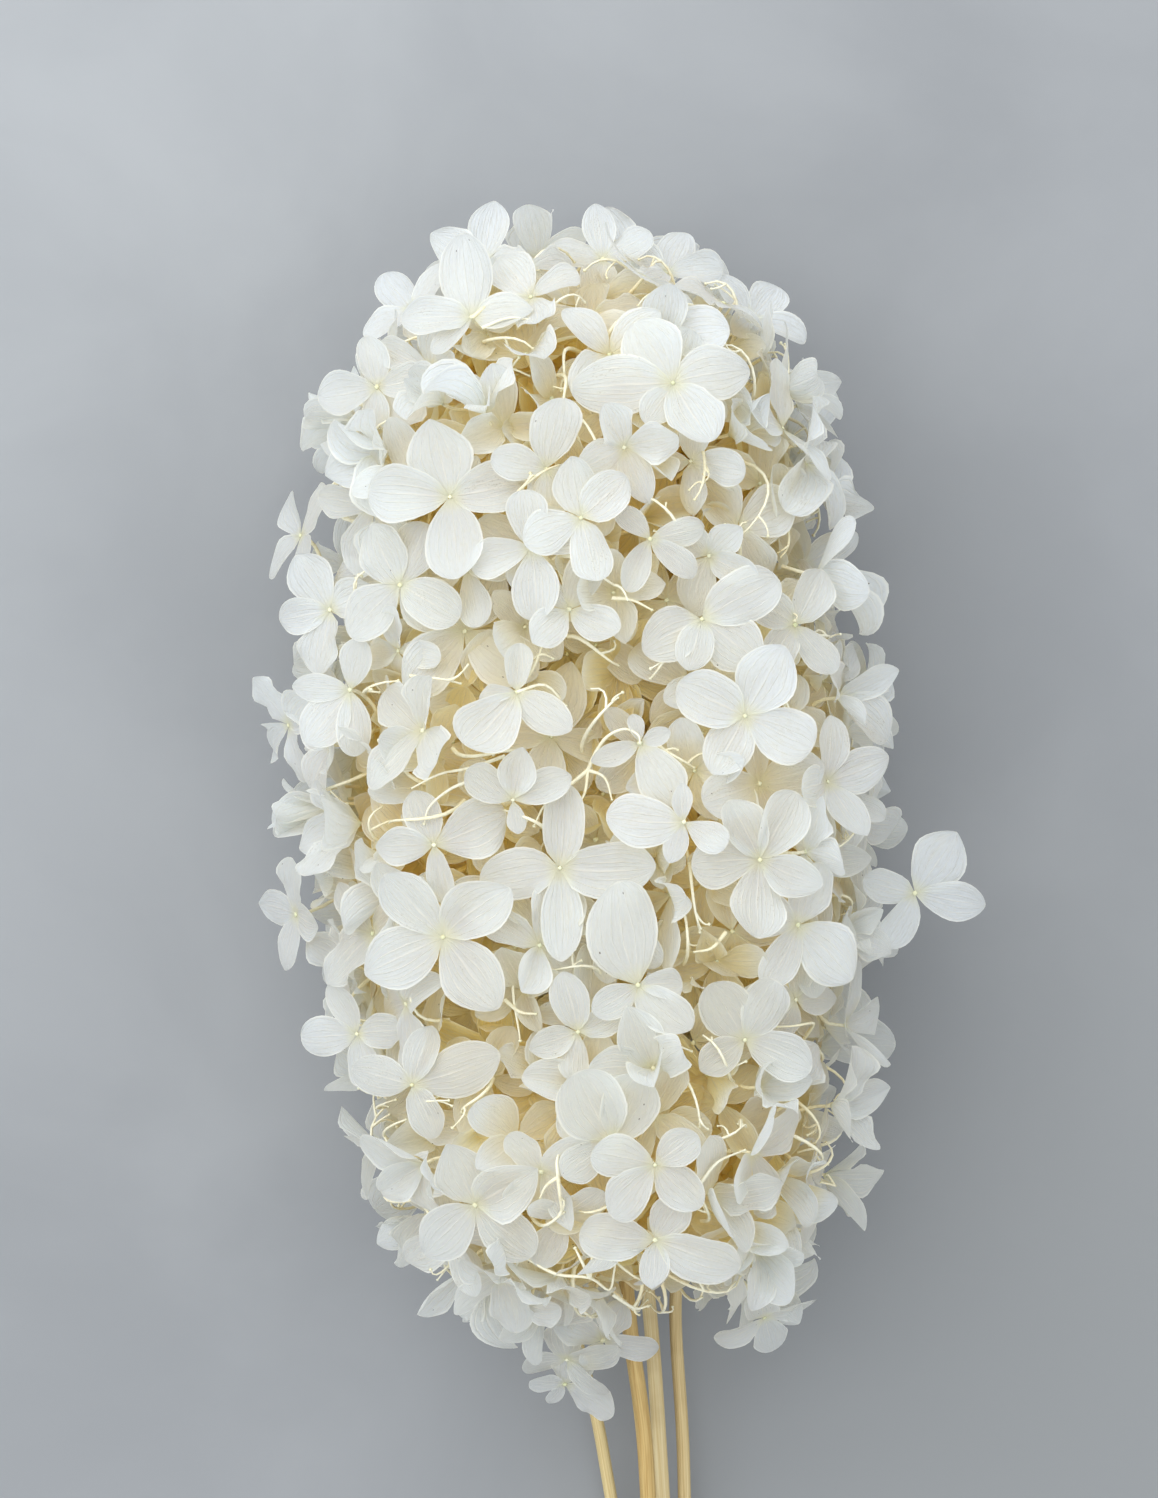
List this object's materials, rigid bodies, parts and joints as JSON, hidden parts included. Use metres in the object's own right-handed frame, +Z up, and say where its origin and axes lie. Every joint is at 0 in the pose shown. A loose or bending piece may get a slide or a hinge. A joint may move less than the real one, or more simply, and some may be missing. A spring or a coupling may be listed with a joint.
{
  "type": "preserved hydrangea bunch",
  "caption": "Held bunch of preserved, bleached hydrangea heads pressed together, lying down, with bare straw-coloured stems.",
  "frame": {"origin": "on the surface that the bunch lies on, under the middle of its bounding box", "axes": "+Y along the bunch from the cut stems to the tips of the heads, +Z up from the surface, +X to the right seen from above with the heads away from the viewer"},
  "size_m": [0.1623, 0.4376, 0.116],
  "materials": {
    "petals": "bleached, matt, slightly translucent petals",
    "straw_top": "dry pale straw stem",
    "straw_left": "dry straw stem",
    "straw_right": "dry pale straw stem",
    "straw_front": "dry golden stem"
  },
  "bodies": {
    "root": {"flowers_top": "petals", "flowers_left": "petals", "flowers_right": "petals", "flowers_front": "petals", "stem_top": "straw_top", "stem_left": "straw_left", "stem_right": "straw_right", "stem_front": "straw_front"}
  },
  "joints": []
}
